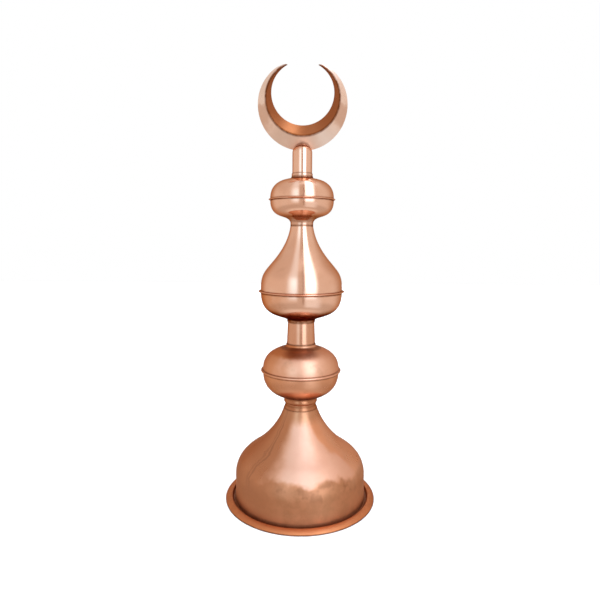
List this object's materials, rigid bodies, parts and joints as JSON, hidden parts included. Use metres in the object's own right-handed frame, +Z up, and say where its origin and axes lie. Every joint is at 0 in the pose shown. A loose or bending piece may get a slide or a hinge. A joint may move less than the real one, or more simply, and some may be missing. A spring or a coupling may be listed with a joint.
{
  "type": "roof finial",
  "caption": "Copper roof finial: bell-shaped foot with a rolled rim, rounded balls and a pear-shaped vase on short tubes, topped by an upward crescent.",
  "frame": {"origin": "on the axis, in the plane of the foot's underside", "axes": "+Z up along the axis, +Y through the crescent's gap, +X across the crescent from horn to horn"},
  "size_m": [0.3568, 0.3568, 1.0008],
  "materials": {
    "bell_copper": "hand-worked copper, polished, a little browner, with soft hammer marks",
    "polished_copper": "spun copper, mirror polished",
    "crescent_copper": "sheet copper, satin polished"
  },
  "bodies": {
    "root": {"base_bell": "bell_copper", "neck_collar": "bell_copper", "lower_ball_lower_half": "polished_copper", "lower_ball_upper_half": "polished_copper", "lower_tube": "polished_copper", "vase_bowl": "polished_copper", "vase_shoulder_and_neck": "polished_copper", "upper_ball_lower_half": "polished_copper", "upper_ball_upper_half": "polished_copper", "upper_tube": "polished_copper", "crescent": "crescent_copper"}
  },
  "joints": []
}
